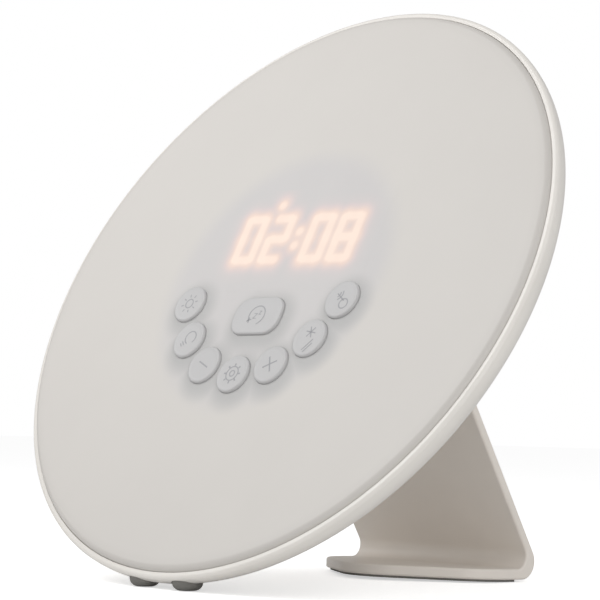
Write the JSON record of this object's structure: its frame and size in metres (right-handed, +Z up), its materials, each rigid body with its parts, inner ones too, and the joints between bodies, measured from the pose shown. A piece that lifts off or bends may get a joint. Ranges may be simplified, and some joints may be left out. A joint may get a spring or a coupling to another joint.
{
  "type": "sunrise alarm clock",
  "caption": "Round free-standing sunrise alarm clock: milky light disc with touch keys and amber time display, leaning back on feet and a bent strap stand.",
  "frame": {"origin": "middle of the overall box, on the table surface", "axes": "+X to the right seen from the front, +Y from the face to the back, +Z up"},
  "size_m": [0.1788, 0.1146, 0.1595],
  "materials": {
    "cover": "satin milky cover",
    "housing": "fine matt moulded",
    "stand": "satin grey",
    "rubber": "matt dark rubber",
    "white_plastic": "matt white",
    "cup": "matt grey",
    "display": "smooth",
    "digits": "amber light bars",
    "keys": "satin pale grey",
    "plungers": "smooth dark",
    "board": "green lacquer",
    "led_board": "white lacquer",
    "leds": "yellow resin",
    "components": "moulded black",
    "steel": "zinc plated",
    "paper": "pressed dark pulp",
    "ferrite": "sintered",
    "gasket": "foam",
    "wire": "insulated",
    "contacts": "nickel plated",
    "screws": "zinc plated"
  },
  "bodies": {
    "clock": {"battery_contacts": "contacts", "board_link": "components", "board_screws": "screws", "control_board": "board", "control_cup": "cup", "dc_socket": "components", "display_block": "display", "display_segments": "digits", "foot_left": "rubber", "foot_right": "rubber", "front_diffuser": "cover", "housing_screws": "screws", "led_board": "led_board", "led_board_screws": "screws", "led_leads": "wire", "leds": "leds", "main_board": "board", "main_board_parts": "components", "rear_housing": "housing", "reflector": "white_plastic", "speaker_basket": "steel", "speaker_cone": "paper", "speaker_gasket": "gasket", "speaker_leads": "wire", "speaker_magnet": "ferrite", "speaker_screws": "screws", "stand": "stand", "stand_pad": "rubber", "stand_screws": "screws", "switch_bodies": "components"},
    "button_alarm": {"key_alarm": "keys", "plunger_alarm": "plungers"},
    "button_brightness": {"key_brightness": "keys", "plunger_brightness": "plungers"},
    "button_lamp": {"key_lamp": "keys", "plunger_lamp": "plungers"},
    "button_minus": {"key_minus": "keys", "plunger_minus": "plungers"},
    "button_plus": {"key_plus": "keys", "plunger_plus": "plungers"},
    "button_radio": {"key_radio": "keys", "plunger_radio": "plungers"},
    "button_set": {"key_set": "keys", "plunger_set": "plungers"},
    "button_snooze": {"key_snooze": "keys", "plunger_snooze": "plungers"},
    "door": {"battery_door": "housing"}
  },
  "joints": [
    {"name": "press_alarm", "type": "slide", "parent": "clock", "child": "button_alarm", "axis": [0, 0.8788, -0.4772], "range_m": [0, 0.0005], "stiffness_N_per_m": 2500, "springref_m": -0.0001},
    {"name": "press_brightness", "type": "slide", "parent": "clock", "child": "button_brightness", "axis": [0, 0.8788, -0.4772], "range_m": [0, 0.0005], "stiffness_N_per_m": 2500, "springref_m": -0.0001},
    {"name": "press_lamp", "type": "slide", "parent": "clock", "child": "button_lamp", "axis": [0, 0.8788, -0.4772], "range_m": [0, 0.0005], "stiffness_N_per_m": 2500, "springref_m": -0.0001},
    {"name": "press_minus", "type": "slide", "parent": "clock", "child": "button_minus", "axis": [0, 0.8788, -0.4772], "range_m": [0, 0.0005], "stiffness_N_per_m": 2500, "springref_m": -0.0001},
    {"name": "press_plus", "type": "slide", "parent": "clock", "child": "button_plus", "axis": [0, 0.8788, -0.4772], "range_m": [0, 0.0005], "stiffness_N_per_m": 2500, "springref_m": -0.0001},
    {"name": "press_radio", "type": "slide", "parent": "clock", "child": "button_radio", "axis": [0, 0.8788, -0.4772], "range_m": [0, 0.0005], "stiffness_N_per_m": 2500, "springref_m": -0.0001},
    {"name": "press_set", "type": "slide", "parent": "clock", "child": "button_set", "axis": [0, 0.8788, -0.4772], "range_m": [0, 0.0005], "stiffness_N_per_m": 2500, "springref_m": -0.0001},
    {"name": "press_snooze", "type": "slide", "parent": "clock", "child": "button_snooze", "axis": [0, 0.8788, -0.4772], "range_m": [0, 0.0005], "stiffness_N_per_m": 2500, "springref_m": -0.0001},
    {"name": "door_lift_off", "type": "slide", "parent": "clock", "child": "door", "axis": [0, 0.8788, -0.4772], "range_m": [0, 0.012]}
  ]
}
